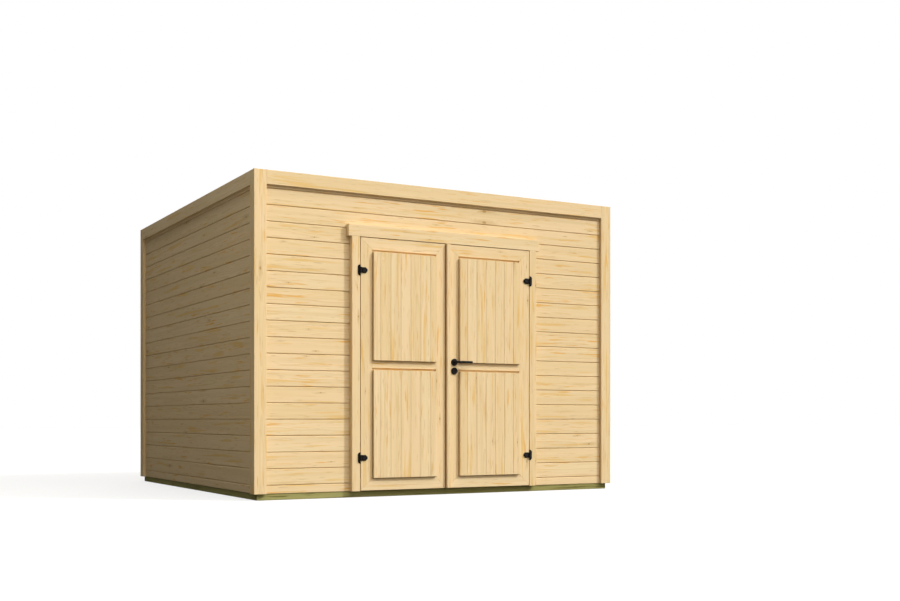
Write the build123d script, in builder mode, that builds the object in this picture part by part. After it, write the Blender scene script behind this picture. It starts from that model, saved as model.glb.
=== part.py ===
"""Garden shed of horizontal boards on a square plan, with a pair of board doors in the front.

Millimetres. +X runs to the right along the front, -Y points out of the front, +Z is up.
The origin lies on the ground at the centre of the square plan.
"""

import os

from build123d import *

# Overall sizes, over the corner trims
shed_width = 3000
shed_depth = 3000

# Foundation frame and floor
base_height = 44
base_beam_width = 70
base_setback = 6
floor_joist_width = 60
floor_joist_spacing = 480
floor_joist_count = 5
floor_thickness = 20
floor_gap = 5

# Walls, posts and outer boards
wall_thickness = 28
trim_thickness = 24
trim_width = 90
fascia_height = 98
post_size = 60

# Flat roof, which falls towards the back
wall_over_door_height = 309
parapet_height = 63
roof_fall = 30
roof_joist_width = 45
roof_joist_height = 95
roof_joist_spacing = 492
roof_joist_count = 5
joist_housing_depth = 35
deck_thickness = 18
membrane_thickness = 4

# Doorway
leaves_width = 1423
leaf_height = 1802
leaf_bottom = 49
leaf_gap = 5.5
leaf_top_gap = 5.5
meeting_gap = 8
stop_gap = 5
stop_overlap = 15
jamb_width = 55
jamb_depth = 45
door_head_height = 55
casing_thickness = 40
casing_width = 62
head_casing_height = 85
head_casing_overhang = 26

# Door leaves
stile_width = 90
left_meeting_stile = 75
right_meeting_stile = 107
top_rail_height = 83
bottom_rail_height = 85
mid_rail_height = 50
mid_rail_rise = 875
meeting_edge_x = -20
rebate_depth = 14
rebate_seat = 15
panel_gap = 3
panel_top_gap = 16
panel_proud = 22
strip_width = 28
strip_proud = 22

# Hinges
hinge_inset = 233
hinge_plate_height = 79
hinge_plate_width = 21
hinge_plate_thickness = 4
hinge_plate_corner = 18.9
barrel_radius = 9
pin_radius = 4
pin_clearance = 0.3
knuckle_height = 31
knuckle_gap = 0.4
ear_thickness = 5
strap_length = 54
strap_height = 41
strap_thickness = 11
strap_bevel = 6
strap_corner = 14
strap_neck_length = 11

# Lock furniture
handle_height = 980
handle_x = 50
rosette_radius = 26
rosette_thickness = 9
rosette_chamfer = 3
key_drop = 65
lever_radius = 9
lever_length = 127
lever_reach = 46
lever_bend_radius = 14
lever_end_taper = 7
lever_end_rounding = 6.3
lever_clearance = 0.3

# Faces worked out from the sizes above
wall_x = shed_width / 2 - trim_thickness
wall_y = shed_depth / 2 - trim_thickness
inner_x = wall_x - wall_thickness
inner_y = wall_y - wall_thickness
base_x = wall_x - base_setback
base_y = wall_y - base_setback
fascia_x = shed_width / 2 - trim_width
fascia_y = shed_depth / 2 - trim_width
floor_top = base_height + floor_thickness
leaf_top = leaf_bottom + leaf_height
casing_y = wall_y + casing_thickness
leaf_back_y = wall_y + stop_gap
rebate_y = casing_y - rebate_depth
panel_y = casing_y + panel_proud
leaves_x = leaves_width / 2
casing_x = leaves_x + leaf_gap
jamb_x = leaves_x - stop_overlap
jamb_outer_x = jamb_x + jamb_width
head_bottom = leaf_top - stop_overlap
head_top = head_bottom + door_head_height
roof_front_height = head_top + wall_over_door_height
trim_top = roof_front_height + parapet_height
hinge_x = leaves_x + leaf_gap / 2
hinge_y = casing_y + barrel_radius
hinge_heights = (leaf_bottom + hinge_inset, leaf_top - hinge_inset)
roof_joist_places = [
    (index - (roof_joist_count - 1) / 2) * roof_joist_spacing for index in range(roof_joist_count)
]
floor_joist_places = [
    (index - (floor_joist_count - 1) / 2) * floor_joist_spacing for index in range(floor_joist_count)
]


def roof_height(y):
    """Height of the wall tops at y, on the straight fall from the front to the back."""
    return roof_front_height - roof_fall * (y + wall_y) / (2 * wall_y)


def save(part, label):
    """Label a finished piece and write it to its own file."""
    part.label = label
    export_step(part, f"parts/{label}.step")


def board(x, y, z):
    """A straight board between the limits x, y and z, each a low and high value."""
    with BuildPart() as piece:
        with BuildSketch(Plane.XY.offset(z[0])):
            with Locations(((x[0] + x[1]) / 2, (y[0] + y[1]) / 2)):
                Rectangle(x[1] - x[0], y[1] - y[0])
        extrude(amount=z[1] - z[0])
    return piece.part


def along_x(x, outline):
    """A piece with one outline in Y and Z from end to end between the limits x."""
    with BuildPart() as piece:
        with BuildSketch(Plane.YZ.offset(x[0])):
            with BuildLine():
                Polyline(*outline, close=True)
            make_face()
        extrude(amount=x[1] - x[0])
    return piece.part


def cross_wall(x, y, bottom):
    """A front or back wall slab between the limits x and y, with housings for the roof joists."""
    outline = [(y[0], bottom), (y[1], bottom), (y[1], roof_height(y[1])), (y[0], roof_height(y[0]))]
    inside = [place for place in roof_joist_places if x[0] < place < x[1]]
    with BuildPart() as piece:
        with BuildSketch(Plane.YZ.offset(x[0])):
            with BuildLine():
                Polyline(*outline, close=True)
            make_face()
        extrude(amount=x[1] - x[0])
        for place in inside:
            with BuildSketch(Plane.YZ.offset(place - roof_joist_width / 2)):
                with BuildLine():
                    Polyline(
                        (y[0], roof_height(y[0]) - joist_housing_depth),
                        (y[1], roof_height(y[1]) - joist_housing_depth),
                        (y[1], roof_height(y[1])),
                        (y[0], roof_height(y[0])),
                        close=True,
                    )
                make_face()
            extrude(amount=roof_joist_width, mode=Mode.SUBTRACT)
    return piece.part


os.makedirs("parts", exist_ok=True)

# Foundation: front and back beams run through, side beams and joists fit between them
for side, label in ((-1, "base_beam_front"), (1, "base_beam_back")):
    low, high = sorted((side * base_y, side * (base_y - base_beam_width)))
    save(board((-base_x, base_x), (low, high), (0, base_height)), label)

for side, label in ((-1, "base_beam_left"), (1, "base_beam_right")):
    low, high = sorted((side * base_x, side * (base_x - base_beam_width)))
    inner_length = base_y - base_beam_width
    save(board((low, high), (-inner_length, inner_length), (0, base_height)), label)

with BuildPart() as floor_joists:
    with BuildSketch():
        with Locations(*[(place, 0) for place in floor_joist_places]):
            Rectangle(floor_joist_width, 2 * (base_y - base_beam_width))
    extrude(amount=base_height)
save(floor_joists.part, "floor_joists")

# Floor, cut back round the corner posts and the door jambs
post_places = [
    (side * (inner_x - post_size / 2), end * (inner_y - post_size / 2))
    for side in (-1, 1)
    for end in (-1, 1)
]
with BuildPart() as floor:
    with BuildSketch(Plane.XY.offset(base_height)):
        Rectangle(2 * (inner_x - floor_gap), 2 * (inner_y - floor_gap))
        with Locations(*post_places):
            Rectangle(post_size + 2 * floor_gap, post_size + 2 * floor_gap, mode=Mode.SUBTRACT)
        jamb_middle = jamb_x + jamb_width / 2
        with Locations((-jamb_middle, jamb_depth / 2 - wall_y), (jamb_middle, jamb_depth / 2 - wall_y)):
            Rectangle(jamb_width + 2 * floor_gap, jamb_depth + 2 * floor_gap, mode=Mode.SUBTRACT)
    extrude(amount=floor_thickness)
save(floor.part, "floor")

# Walls: the front one is split beside and over the doorway
front = (-wall_y, -inner_y)
back = (inner_y, wall_y)
save(cross_wall((-wall_x, -jamb_outer_x), front, base_height), "front_wall_left")
save(cross_wall((jamb_outer_x, wall_x), front, base_height), "front_wall_right")
save(cross_wall((-jamb_outer_x, jamb_outer_x), front, head_top), "front_wall_over_door")
save(cross_wall((-wall_x, wall_x), back, base_height), "back_wall")

side_outline = [
    (-inner_y, base_height),
    (inner_y, base_height),
    (inner_y, roof_height(inner_y)),
    (-inner_y, roof_height(-inner_y)),
]
save(along_x((-wall_x, -inner_x), side_outline), "left_wall")
save(along_x((inner_x, wall_x), side_outline), "right_wall")

with BuildPart() as corner_posts:
    with BuildSketch(Plane.XY.offset(base_height)):
        with Locations(*post_places):
            Rectangle(post_size, post_size)
    extrude(amount=roof_height(inner_y) - base_height)
save(corner_posts.part, "corner_posts")

# Corner trims: wide boards on the front and back lap over the edges of those on the sides
with BuildPart() as corner_trims_front_back:
    with BuildSketch(Plane.XY.offset(base_height)):
        with Locations(
            *[
                (side * (shed_width - trim_width) / 2, end * (shed_depth - trim_thickness) / 2)
                for side in (-1, 1)
                for end in (-1, 1)
            ]
        ):
            Rectangle(trim_width, trim_thickness)
    extrude(amount=trim_top - base_height)
save(corner_trims_front_back.part, "corner_trims_front_back")

side_trim_width = trim_width - trim_thickness
with BuildPart() as corner_trims_sides:
    with BuildSketch(Plane.XY.offset(base_height)):
        with Locations(
            *[
                (side * (shed_width - trim_thickness) / 2, end * (wall_y - side_trim_width / 2))
                for side in (-1, 1)
                for end in (-1, 1)
            ]
        ):
            Rectangle(trim_thickness, side_trim_width)
    extrude(amount=trim_top - base_height)
save(corner_trims_sides.part, "corner_trims_sides")

# Fascias between the trims: those on three sides stand up round the roof, the back one lets water off
high_fascia = (trim_top - fascia_height, trim_top)
drip_height = roof_height(shed_depth / 2) + deck_thickness
low_fascia = (drip_height - fascia_height, drip_height)
save(board((-fascia_x, fascia_x), (-shed_depth / 2, -wall_y), high_fascia), "fascia_front")
save(board((-fascia_x, fascia_x), (wall_y, shed_depth / 2), low_fascia), "fascia_back")
save(board((-shed_width / 2, -wall_x), (-fascia_y, fascia_y), high_fascia), "fascia_left")
save(board((wall_x, shed_width / 2), (-fascia_y, fascia_y), high_fascia), "fascia_right")

# Roof joists with ends notched into the front and back walls, then the deck and its membrane
joist_outline = [
    (-wall_y, roof_height(-wall_y)),
    (wall_y, roof_height(wall_y)),
    (wall_y, roof_height(wall_y) - joist_housing_depth),
    (inner_y, roof_height(inner_y) - joist_housing_depth),
    (inner_y, roof_height(inner_y) - roof_joist_height),
    (-inner_y, roof_height(-inner_y) - roof_joist_height),
    (-inner_y, roof_height(-inner_y) - joist_housing_depth),
    (-wall_y, roof_height(-wall_y) - joist_housing_depth),
]
with BuildPart() as roof_joists:
    for place in roof_joist_places:
        with BuildSketch(Plane.YZ.offset(place - roof_joist_width / 2)):
            with BuildLine():
                Polyline(*joist_outline, close=True)
            make_face()
        extrude(amount=roof_joist_width)
save(roof_joists.part, "roof_joists")


def roof_layer(y, lift, thickness):
    """Outline of a roof sheet between the limits y, lifted above the wall tops."""
    return [
        (y[0], roof_height(y[0]) + lift),
        (y[1], roof_height(y[1]) + lift),
        (y[1], roof_height(y[1]) + lift + thickness),
        (y[0], roof_height(y[0]) + lift + thickness),
    ]


roof_span = (-wall_y, wall_y)
save(along_x((-wall_x, wall_x), roof_layer(roof_span, 0, deck_thickness)), "roof_deck")

with BuildPart() as roof_membrane:
    for half_width, span in ((wall_x, roof_span), (fascia_x, (wall_y, shed_depth / 2))):
        with BuildSketch(Plane.YZ.offset(-half_width)):
            with BuildLine():
                Polyline(*roof_layer(span, deck_thickness, membrane_thickness), close=True)
            make_face()
        extrude(amount=2 * half_width)
save(roof_membrane.part, "roof_membrane")

# Doorway: jambs, head and sill in the wall, casings on its face
jamb_y = (-wall_y, jamb_depth - wall_y)
with BuildPart() as door_jambs:
    with BuildSketch(Plane.XY.offset(base_height)):
        with Locations((-jamb_middle, jamb_depth / 2 - wall_y), (jamb_middle, jamb_depth / 2 - wall_y)):
            Rectangle(jamb_width, jamb_depth)
    extrude(amount=head_bottom - base_height)
save(door_jambs.part, "door_jambs")
save(board((-jamb_outer_x, jamb_outer_x), jamb_y, (head_bottom, head_top)), "door_head")
save(board((-jamb_x, jamb_x), front, (base_height, floor_top)), "door_sill")

casing_middle = casing_x + casing_width / 2
casing_top = leaf_top + leaf_top_gap
with BuildPart() as side_casings:
    with BuildSketch(Plane.XY.offset(base_height)):
        with Locations(
            (-casing_middle, -(wall_y + casing_y) / 2),
            (casing_middle, -(wall_y + casing_y) / 2),
        ):
            Rectangle(casing_width, casing_thickness)
    extrude(amount=casing_top - base_height)
save(side_casings.part, "side_casings")

head_casing_x = casing_x + casing_width + head_casing_overhang
save(
    board((-head_casing_x, head_casing_x), (-casing_y, -wall_y), (casing_top, casing_top + head_casing_height)),
    "head_casing",
)


# Door leaves
lip = panel_gap + rebate_seat
top_lip = panel_top_gap + rebate_seat
mid_rail = (leaf_bottom + mid_rail_rise, leaf_bottom + mid_rail_rise + mid_rail_height)
opening_low = leaf_bottom + bottom_rail_height
opening_high = leaf_top - top_rail_height


def leaf_stiles(outer, opening):
    """Both stiles of a leaf, mitred into the rails, with a rebate behind for the panels."""
    with BuildPart() as stiles:
        for edge, inner, step in ((outer[0], opening[0], lip), (outer[1], opening[1], -lip)):
            with BuildSketch(Plane.XZ.offset(rebate_y)):
                with BuildLine():
                    Polyline(
                        (edge, leaf_bottom),
                        (inner, opening_low),
                        (inner, opening_high),
                        (edge, leaf_top),
                        close=True,
                    )
                make_face()
            extrude(amount=rebate_depth)
            with BuildSketch(Plane.XZ.offset(leaf_back_y)):
                with BuildLine():
                    Polyline(
                        (edge, leaf_bottom),
                        (inner, opening_low),
                        (inner + step, opening_low + lip),
                        (inner + step, opening_high - top_lip),
                        (inner, opening_high),
                        (edge, leaf_top),
                        close=True,
                    )
                make_face()
            extrude(amount=rebate_y - leaf_back_y)
    return stiles.part


def leaf_rails(outer, opening):
    """Top, middle and bottom rails of a leaf, with the same rebate behind."""
    ends = ((leaf_bottom, opening_low, lip), (leaf_top, opening_high, -top_lip))
    with BuildPart() as rails:
        for edge, inner, step in ends:
            with BuildSketch(Plane.XZ.offset(rebate_y)):
                with BuildLine():
                    Polyline(
                        (outer[0], edge),
                        (outer[1], edge),
                        (opening[1], inner),
                        (opening[0], inner),
                        close=True,
                    )
                make_face()
            extrude(amount=rebate_depth)
            with BuildSketch(Plane.XZ.offset(leaf_back_y)):
                with BuildLine():
                    Polyline(
                        (outer[0], edge),
                        (outer[1], edge),
                        (opening[1], inner),
                        (opening[1] - lip, inner + step),
                        (opening[0] + lip, inner + step),
                        (opening[0], inner),
                        close=True,
                    )
                make_face()
            extrude(amount=rebate_y - leaf_back_y)
        middle_x = (opening[0] + opening[1]) / 2
        middle_z = (mid_rail[0] + mid_rail[1]) / 2
        with BuildSketch(Plane.XZ.offset(rebate_y)):
            with Locations((middle_x, middle_z)):
                Rectangle(opening[1] - opening[0], mid_rail_height)
        extrude(amount=rebate_depth)
        with BuildSketch(Plane.XZ.offset(leaf_back_y)):
            with Locations((middle_x, middle_z + (lip - top_lip) / 2)):
                Rectangle(opening[1] - opening[0] - 2 * lip, mid_rail_height + lip + top_lip)
        extrude(amount=rebate_y - leaf_back_y)
    return rails.part


def leaf_panel(opening, z):
    """A raised panel of a leaf, seated in the rebate with a wider gap above it than round it."""
    x = (opening[0] + panel_gap, opening[1] - panel_gap)
    return board(x, (-panel_y, -rebate_y), (z[0] + panel_gap, z[1] - panel_top_gap))


left_outer = (-leaves_x, meeting_edge_x - meeting_gap)
left_opening = (stile_width - leaves_x, meeting_edge_x - meeting_gap - left_meeting_stile)
right_outer = (meeting_edge_x, leaves_x)
right_opening = (meeting_edge_x + right_meeting_stile, leaves_x - stile_width)

for label, outer, opening in (
    ("left_leaf", left_outer, left_opening),
    ("right_leaf", right_outer, right_opening),
):
    save(leaf_stiles(outer, opening), f"{label}_stiles")
    save(leaf_rails(outer, opening), f"{label}_rails")
    save(leaf_panel(opening, (opening_low, mid_rail[0])), f"{label}_lower_panel")
    save(leaf_panel(opening, (mid_rail[1], opening_high)), f"{label}_upper_panel")

save(
    board(
        (meeting_edge_x, meeting_edge_x + strip_width),
        (-casing_y - strip_proud, -casing_y),
        (leaf_bottom, leaf_top),
    ),
    "meeting_strip",
)


def hinge_plates(side):
    """Plates on one casing, each with an ear above and below the strap's knuckle, and the pin."""
    ears_height = knuckle_height + 2 * (knuckle_gap + ear_thickness)
    gap_height = knuckle_height + 2 * knuckle_gap
    with BuildPart() as plates:
        for height in hinge_heights:
            plate_middle = side * (hinge_x + hinge_plate_width / 2)
            with BuildSketch(Plane.XZ.offset(casing_y)):
                with Locations((plate_middle, height)):
                    Rectangle(hinge_plate_width, hinge_plate_height)
                far_corners = vertices().group_by(Axis.X)[-1 if side > 0 else 0]
                fillet(far_corners, hinge_plate_corner)
            extrude(amount=hinge_plate_thickness)
            with Locations((side * hinge_x, -hinge_y, height)):
                Cylinder(barrel_radius, ears_height)
                Cylinder(barrel_radius + knuckle_gap, gap_height, mode=Mode.SUBTRACT)
                Cylinder(pin_radius, ears_height)
    return plates.part


def hinge_straps(side):
    """Thick bevelled straps on one leaf, each with a thin neck to its knuckle round the pin."""
    near = side * (hinge_x - strap_neck_length)
    shoulder = side * (hinge_x - strap_length + strap_corner)
    tip = side * (hinge_x - strap_length)
    half_tip = strap_height / 2 - strap_corner
    with BuildPart() as straps:
        for height in hinge_heights:
            with BuildSketch(Plane.XZ.offset(casing_y)):
                with BuildLine():
                    Polyline(
                        (near, height - strap_height / 2),
                        (shoulder, height - strap_height / 2),
                        (tip, height - half_tip),
                        (tip, height + half_tip),
                        (shoulder, height + strap_height / 2),
                        (near, height + strap_height / 2),
                        close=True,
                    )
                make_face()
            extrude(amount=strap_thickness)
        chamfer(straps.faces().group_by(Axis.Y)[0].edges(), strap_bevel)
        for height in hinge_heights:
            with BuildSketch(Plane.XZ.offset(casing_y)):
                with Locations(((side * hinge_x + near) / 2, height)):
                    Rectangle(strap_neck_length, knuckle_height)
            extrude(amount=hinge_plate_thickness)
            with Locations((side * hinge_x, -hinge_y, height)):
                Cylinder(barrel_radius, knuckle_height)
                Cylinder(pin_radius + pin_clearance, knuckle_height, mode=Mode.SUBTRACT)
    return straps.part


for side, name in ((-1, "left"), (1, "right")):
    save(hinge_plates(side), f"{name}_hinge_plates")
    save(hinge_straps(side), f"{name}_hinge_straps")

# Lock furniture on the right leaf: two round rosettes and the lever
rosette_face = casing_y + rosette_thickness
for label, height in (("handle_rosette", handle_height), ("key_rosette", handle_height - key_drop)):
    with BuildPart() as rosette:
        with BuildSketch(Plane.XZ.offset(casing_y)):
            with Locations((handle_x, height)):
                Circle(rosette_radius)
        extrude(amount=rosette_thickness)
        rim = rosette.edges().filter_by(GeomType.CIRCLE).sort_by(Axis.Y)[0]
        chamfer(rim, rosette_chamfer)
    save(rosette.part, label)

neck_start = -(rosette_face + lever_clearance)
neck_end = -(rosette_face + lever_reach)
with BuildPart() as lever_handle:
    with BuildLine() as lever_path:
        FilletPolyline(
            (handle_x, neck_start, handle_height),
            (handle_x, neck_end, handle_height),
            (handle_x + lever_length - lever_end_taper, neck_end, handle_height),
            radius=lever_bend_radius,
        )
    with BuildSketch(Plane(origin=(handle_x, neck_start, handle_height), z_dir=(0, -1, 0))):
        Circle(lever_radius)
    sweep()
    tip_face = lever_handle.faces().sort_by(Axis.X)[-1]
    with BuildSketch(Plane(tip_face)):
        Circle(lever_radius)
    extrude(amount=lever_end_taper)
    end_edge = lever_handle.edges().filter_by(GeomType.CIRCLE).sort_by(Axis.X)[-1]
    fillet(end_edge, lever_end_rounding)
save(lever_handle.part, "lever_handle")
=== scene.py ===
"""The looks of a garden shed: planed spruce boards, a treated base, a felt roof and black fittings.

Every piece is worked out from the frame's own boxes, in metres, and stands where its CAD node stands.
"""

import math

import bpy
import numpy as np
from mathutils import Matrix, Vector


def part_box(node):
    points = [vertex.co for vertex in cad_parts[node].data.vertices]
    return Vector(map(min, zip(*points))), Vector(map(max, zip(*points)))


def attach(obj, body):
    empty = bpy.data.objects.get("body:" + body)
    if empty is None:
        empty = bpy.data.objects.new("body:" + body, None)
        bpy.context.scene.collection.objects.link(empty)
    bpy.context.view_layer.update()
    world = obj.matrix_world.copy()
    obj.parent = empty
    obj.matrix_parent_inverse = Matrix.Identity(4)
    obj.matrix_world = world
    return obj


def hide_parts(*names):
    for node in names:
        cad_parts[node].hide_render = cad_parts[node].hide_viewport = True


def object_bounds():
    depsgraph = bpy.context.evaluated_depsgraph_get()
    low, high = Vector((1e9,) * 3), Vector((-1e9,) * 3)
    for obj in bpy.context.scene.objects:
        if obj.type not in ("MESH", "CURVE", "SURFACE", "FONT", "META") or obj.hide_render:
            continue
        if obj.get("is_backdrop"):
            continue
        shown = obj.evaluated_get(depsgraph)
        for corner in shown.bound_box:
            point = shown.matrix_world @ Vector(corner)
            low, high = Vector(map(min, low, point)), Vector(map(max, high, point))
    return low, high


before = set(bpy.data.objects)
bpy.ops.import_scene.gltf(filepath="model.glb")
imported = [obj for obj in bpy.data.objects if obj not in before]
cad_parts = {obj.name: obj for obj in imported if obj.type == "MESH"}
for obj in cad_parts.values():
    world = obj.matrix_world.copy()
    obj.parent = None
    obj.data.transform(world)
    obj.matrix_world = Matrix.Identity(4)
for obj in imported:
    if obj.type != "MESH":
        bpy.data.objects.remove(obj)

bl_info = {
    "name": "Garden shed",
    "version": (1, 0, 0),
    "blender": (4, 5, 0),
    "location": "3D View > Sidebar > Shed",
    "description": "Builds the boards, fittings and finishes of a garden shed on its frame",
    "category": "Add Mesh",
}

CAD_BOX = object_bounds()
ACROSS, ALONG, UP = np.eye(3)
TURN = 2 * math.pi
QUARTER = math.pi / 2

# Fine sizes that no user would change, in metres
BEAM_ARRIS = 0.003
JOIST_ARRIS = 0.002
FLOOR_JOINT = (0.001, 0.0004, 0.004)
DECK_JOINT = (0.002, 0.0008, 0.005)
LEAST_BOARD = 0.01
FELT_THICKNESS = 0.004
FELT_ARRIS = 0.0002
END_ARRIS = 0.0015
METAL_EDGE = 0.0002

# Steps that round a wooden arris, a metal edge and the lever's bend, and corners of round outlines
WOOD_STEPS = 2
METAL_STEPS = 5
BEND_STEPS = 12
CIRCLE_CORNERS = 48
ROD_CORNERS = 36

# Edges that turn by more than this stay sharp on round pieces
SHARP_ANGLE = math.radians(32)

# Where in its tree each board is cut: anywhere along it, and beside the pith
NEAREST_CUT = (-40, -0.09, 0.02)
FARTHEST_CUT = (40, 0.09, 0.11)

# Noise that bends the grain, and the wood's fibres, by length and width in metres
SLOW_BEND = (0.77, 0.25)
QUICK_BEND, QUICK_SHARE = (0.14, 0.033), 0.12
FIBRES = (0.4, 0.0038)

# Knots and the halo round them: their width over their length, and where they fade by their radius
KNOT_SHAPE, KNOT_FADE = 0.55, (0.7, 1.15)
HALO_SHAPE, HALO_FADE = 0.16, (0.6, 3.2)
RING_LIFT = 1.6
RING_END = (0.93, 1.0)

# Marks in the wood: each one's length and width in metres, its shift from board to board, and the
# levels of noise between which it fades in
MARKS = {
    "drift": (0.9, 0.11, 3, 0.38, 0.62),
    "band": (1.6, 0.036, 0, 0.4, 0.66),
    "olive": (0.3, 0.02, 13, 0.61, 0.72),
    "honey": (0.55, 0.03, 5, 0.58, 0.70),
    "amber": (0.22, 0.012, -9, 0.57, 0.69),
    "amber_patch": (0.5, 0.08, 31, 0.50, 0.62),
    "fleck": (0.12, 0.008, 21, 0.62, 0.74),
}
SPRUCE = ("spruce_light", "spruce_warm", "spruce_rosy", "spruce_dark", "honey", "amber", "knot")
TREATED = ("treated_light", "treated_warm", "treated_warm", *["treated_dark"] * 3, "knot")

# Lock cylinder: the radius of its head and of its foot, each with its distance from the rosette's middle
CYLINDER_HEAD, CYLINDER_RISE = 0.0085, 0.008
CYLINDER_FOOT, CYLINDER_DROP = 0.005, 0.0115
PLUG_RADIUS, PLUG_HEIGHT = 0.0062, 0.0008
KEY_SLOT = (0.0009, 0.0042)

SUN_TINT = (0.93, 0.965, 1.0)
FILL_TINT = (0.99, 0.965, 0.895)
SIDES = ("front", "back", "left", "right")
FRAME_WIDTH = 900
SENSOR_WIDTH = 36.0
FLOOR_REACH = 60.0
FLOOR_GLOW = 0.72


def sharp_box(node):
    """A node's lowest and highest corners as two arrays."""
    low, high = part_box(node)
    return np.array(low), np.array(high)


def corners_of(node):
    """The places of a node's vertices, rounded to a hundredth of a millimetre."""
    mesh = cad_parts[node].data
    places = np.empty(len(mesh.vertices) * 3)
    mesh.vertices.foreach_get("co", places)
    return np.round(places.reshape(-1, 3), 5)


def spans(node, axis):
    """The stretches that a node's separate boards take along an axis.

    Every board there starts and ends square, so the sorted places of the corners pair up.
    """
    return np.unique(corners_of(node)[:, axis]).reshape(-1, 2)


# Shapes


def arris(radius, steps=METAL_STEPS):
    """Insets and depths of a rounded arris: a quarter circle from the face round to the edge.

    The inset is the radius times one less the sine of the turn, and the depth is the radius times
    one less its cosine.
    """
    turn = np.linspace(0, QUARTER, steps + 1)
    return radius * (1 - np.sin(turn)), radius * (1 - np.cos(turn))


def inset(outline, distance):
    """An outline moved inwards by a distance.

    Each corner goes along the sum of its two edges' inward normals, divided by one plus their dot
    product, so that both edges move by the same distance.
    """
    edge = np.roll(outline, -1, 0) - outline
    normal = np.stack([-edge[:, 1], edge[:, 0]], 1) / np.linalg.norm(edge, axis=1)[:, None]
    before = np.roll(normal, 1, 0)
    step = (before + normal) / (1 + (before * normal).sum(1))[:, None]
    return outline + distance * step


def loft(rings):
    """Joins rings of equally many points with quads, and closes both ends with a cap."""
    levels, around = rings.shape[:2]
    index = np.arange(levels * around).reshape(levels, around)
    low, high = index[:-1], index[1:]
    quads = np.stack([low, np.roll(low, -1, 1), np.roll(high, -1, 1), high], -1).reshape(-1, 4)
    return rings.reshape(-1, 3), [*quads.tolist(), index[0, ::-1].tolist(), index[-1].tolist()]


def anticlockwise(outline):
    """The same outline, with its points in anticlockwise order by the sign of its area."""
    following = np.roll(outline, -1, 0)
    area = (outline[:, 0] * following[:, 1] - outline[:, 1] * following[:, 0]).sum()
    return outline if area > 0 else outline[::-1]


def plank(outline, thickness, radius, far_radius=None):
    """A flat board: its outline in length and width, raised through its thickness.

    The outline is inset near both faces by a quarter circle, which rounds every arris.
    """
    outline = anticlockwise(outline)
    insets, depths = arris(radius, WOOD_STEPS)
    far_insets, far_depths = arris(radius if far_radius is None else far_radius, WOOD_STEPS)
    insets = np.concatenate([insets, far_insets[::-1]])
    depths = np.concatenate([depths, thickness - far_depths[::-1]])
    return stack([(inset(outline, gap), depth) for gap, depth in zip(insets, depths)])


def moulding(profile, length, radius=END_ARRIS):
    """A board with one profile in width and thickness from end to end, drawn in slightly at its ends."""
    rings = [
        np.column_stack([np.full(len(profile), place), inset(profile, gap)])
        for place, gap in ((0, radius), (radius, 0), (length - radius, 0), (length, radius))
    ]
    return loft(np.stack(rings))


def rectangle(right, top, left=0.0, bottom=0.0):
    """The four corners of a rectangle, anticlockwise."""
    return np.array([(left, bottom), (right, bottom), (right, top), (left, top)])


def jointed_profile(width, thickness, joint, near=True, far=True):
    """Profile of a tongued board, or of one whose near or far edge is plain.

    A jointed edge has a chamfer and a narrow slot at both faces, and a solid middle that meets the
    next board. A plain edge keeps the chamfer alone.
    """
    chamfer, slot, depth = joint
    jointed = [(slot + chamfer, 0), (slot, chamfer), (slot, depth), (0, depth)]
    plain = [(chamfer, 0), (0, chamfer)]
    halves = [np.array(jointed if meets else plain) for meets in (near, far)]
    near_edge, far_edge = (
        np.concatenate([half, half[::-1] * (1, -1) + (0, thickness)]) for half in halves
    )
    return np.concatenate([far_edge * (-1, 1) + (width, 0), near_edge[::-1]])


def stack(stations):
    """Joins outlines with equally many points, each at its own height."""
    rings = [np.column_stack([outline, np.full(len(outline), height)]) for outline, height in stations]
    return loft(np.stack(rings))


def directions(count, start=0.0):
    """Unit vectors at equal turns, anticlockwise from the right."""
    turn = np.linspace(0, TURN, count, endpoint=False) + start
    return np.column_stack([np.cos(turn), np.sin(turn)])


def circle(radius, count=CIRCLE_CORNERS):
    """Points of a circle about the origin, anticlockwise from the right."""
    return radius * directions(count)


def beside_axes():
    """Directions that all miss the axes by a hair, so that a side's distance over them is finite."""
    return directions(CIRCLE_CORNERS, 1e-6)


def oblong(half_width, half_height):
    """A rectangle's outline: along each direction, the nearer of its upright and its level side."""
    ways = beside_axes()
    reach = np.minimum(half_width / abs(ways[:, 0]), half_height / abs(ways[:, 1]))
    return reach[:, None] * ways


def cylinder_outline(head, rise, foot, drop):
    """Outline of a lock cylinder: a round head over a narrower foot with a round end.

    Along each direction d from the middle, a circle about c with radius r ends at
    d.c + sqrt(r^2 - c^2 + (d.c)^2), and the foot's straight sides at its half width over cos.
    The outline is the farther of head and foot.
    """
    ways = beside_axes()
    upward = ways[:, 1]
    over_head = upward * rise + np.sqrt(head**2 - rise**2 + (upward * rise) ** 2)
    side = foot / abs(ways[:, 0])
    end = -upward * drop + np.sqrt(np.maximum(foot**2 - drop**2 + (upward * drop) ** 2, 0))
    over_foot = np.where(upward >= 0, foot, np.where(side * abs(upward) <= drop, side, end))
    return np.maximum(over_head, over_foot)[:, None] * ways


def rosette(radius, thickness, shoulder, hole, hole_depth):
    """A round plate with a rounded shoulder, and a recess of a given outline in its face.

    The recess narrows a little at its rim, and goes straight down from there.
    """
    insets, depths = arris(shoulder)
    rim = [(circle(radius - gap), thickness - depth) for gap, depth in zip(insets[::-1], depths[::-1])]
    edge = 0.0003
    narrow = hole * 0.97
    recess = [(hole, thickness), (narrow, thickness - edge), (narrow, thickness - hole_depth)]
    return stack([(circle(radius - edge), 0), (circle(radius), edge), *rim, *recess])


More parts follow.
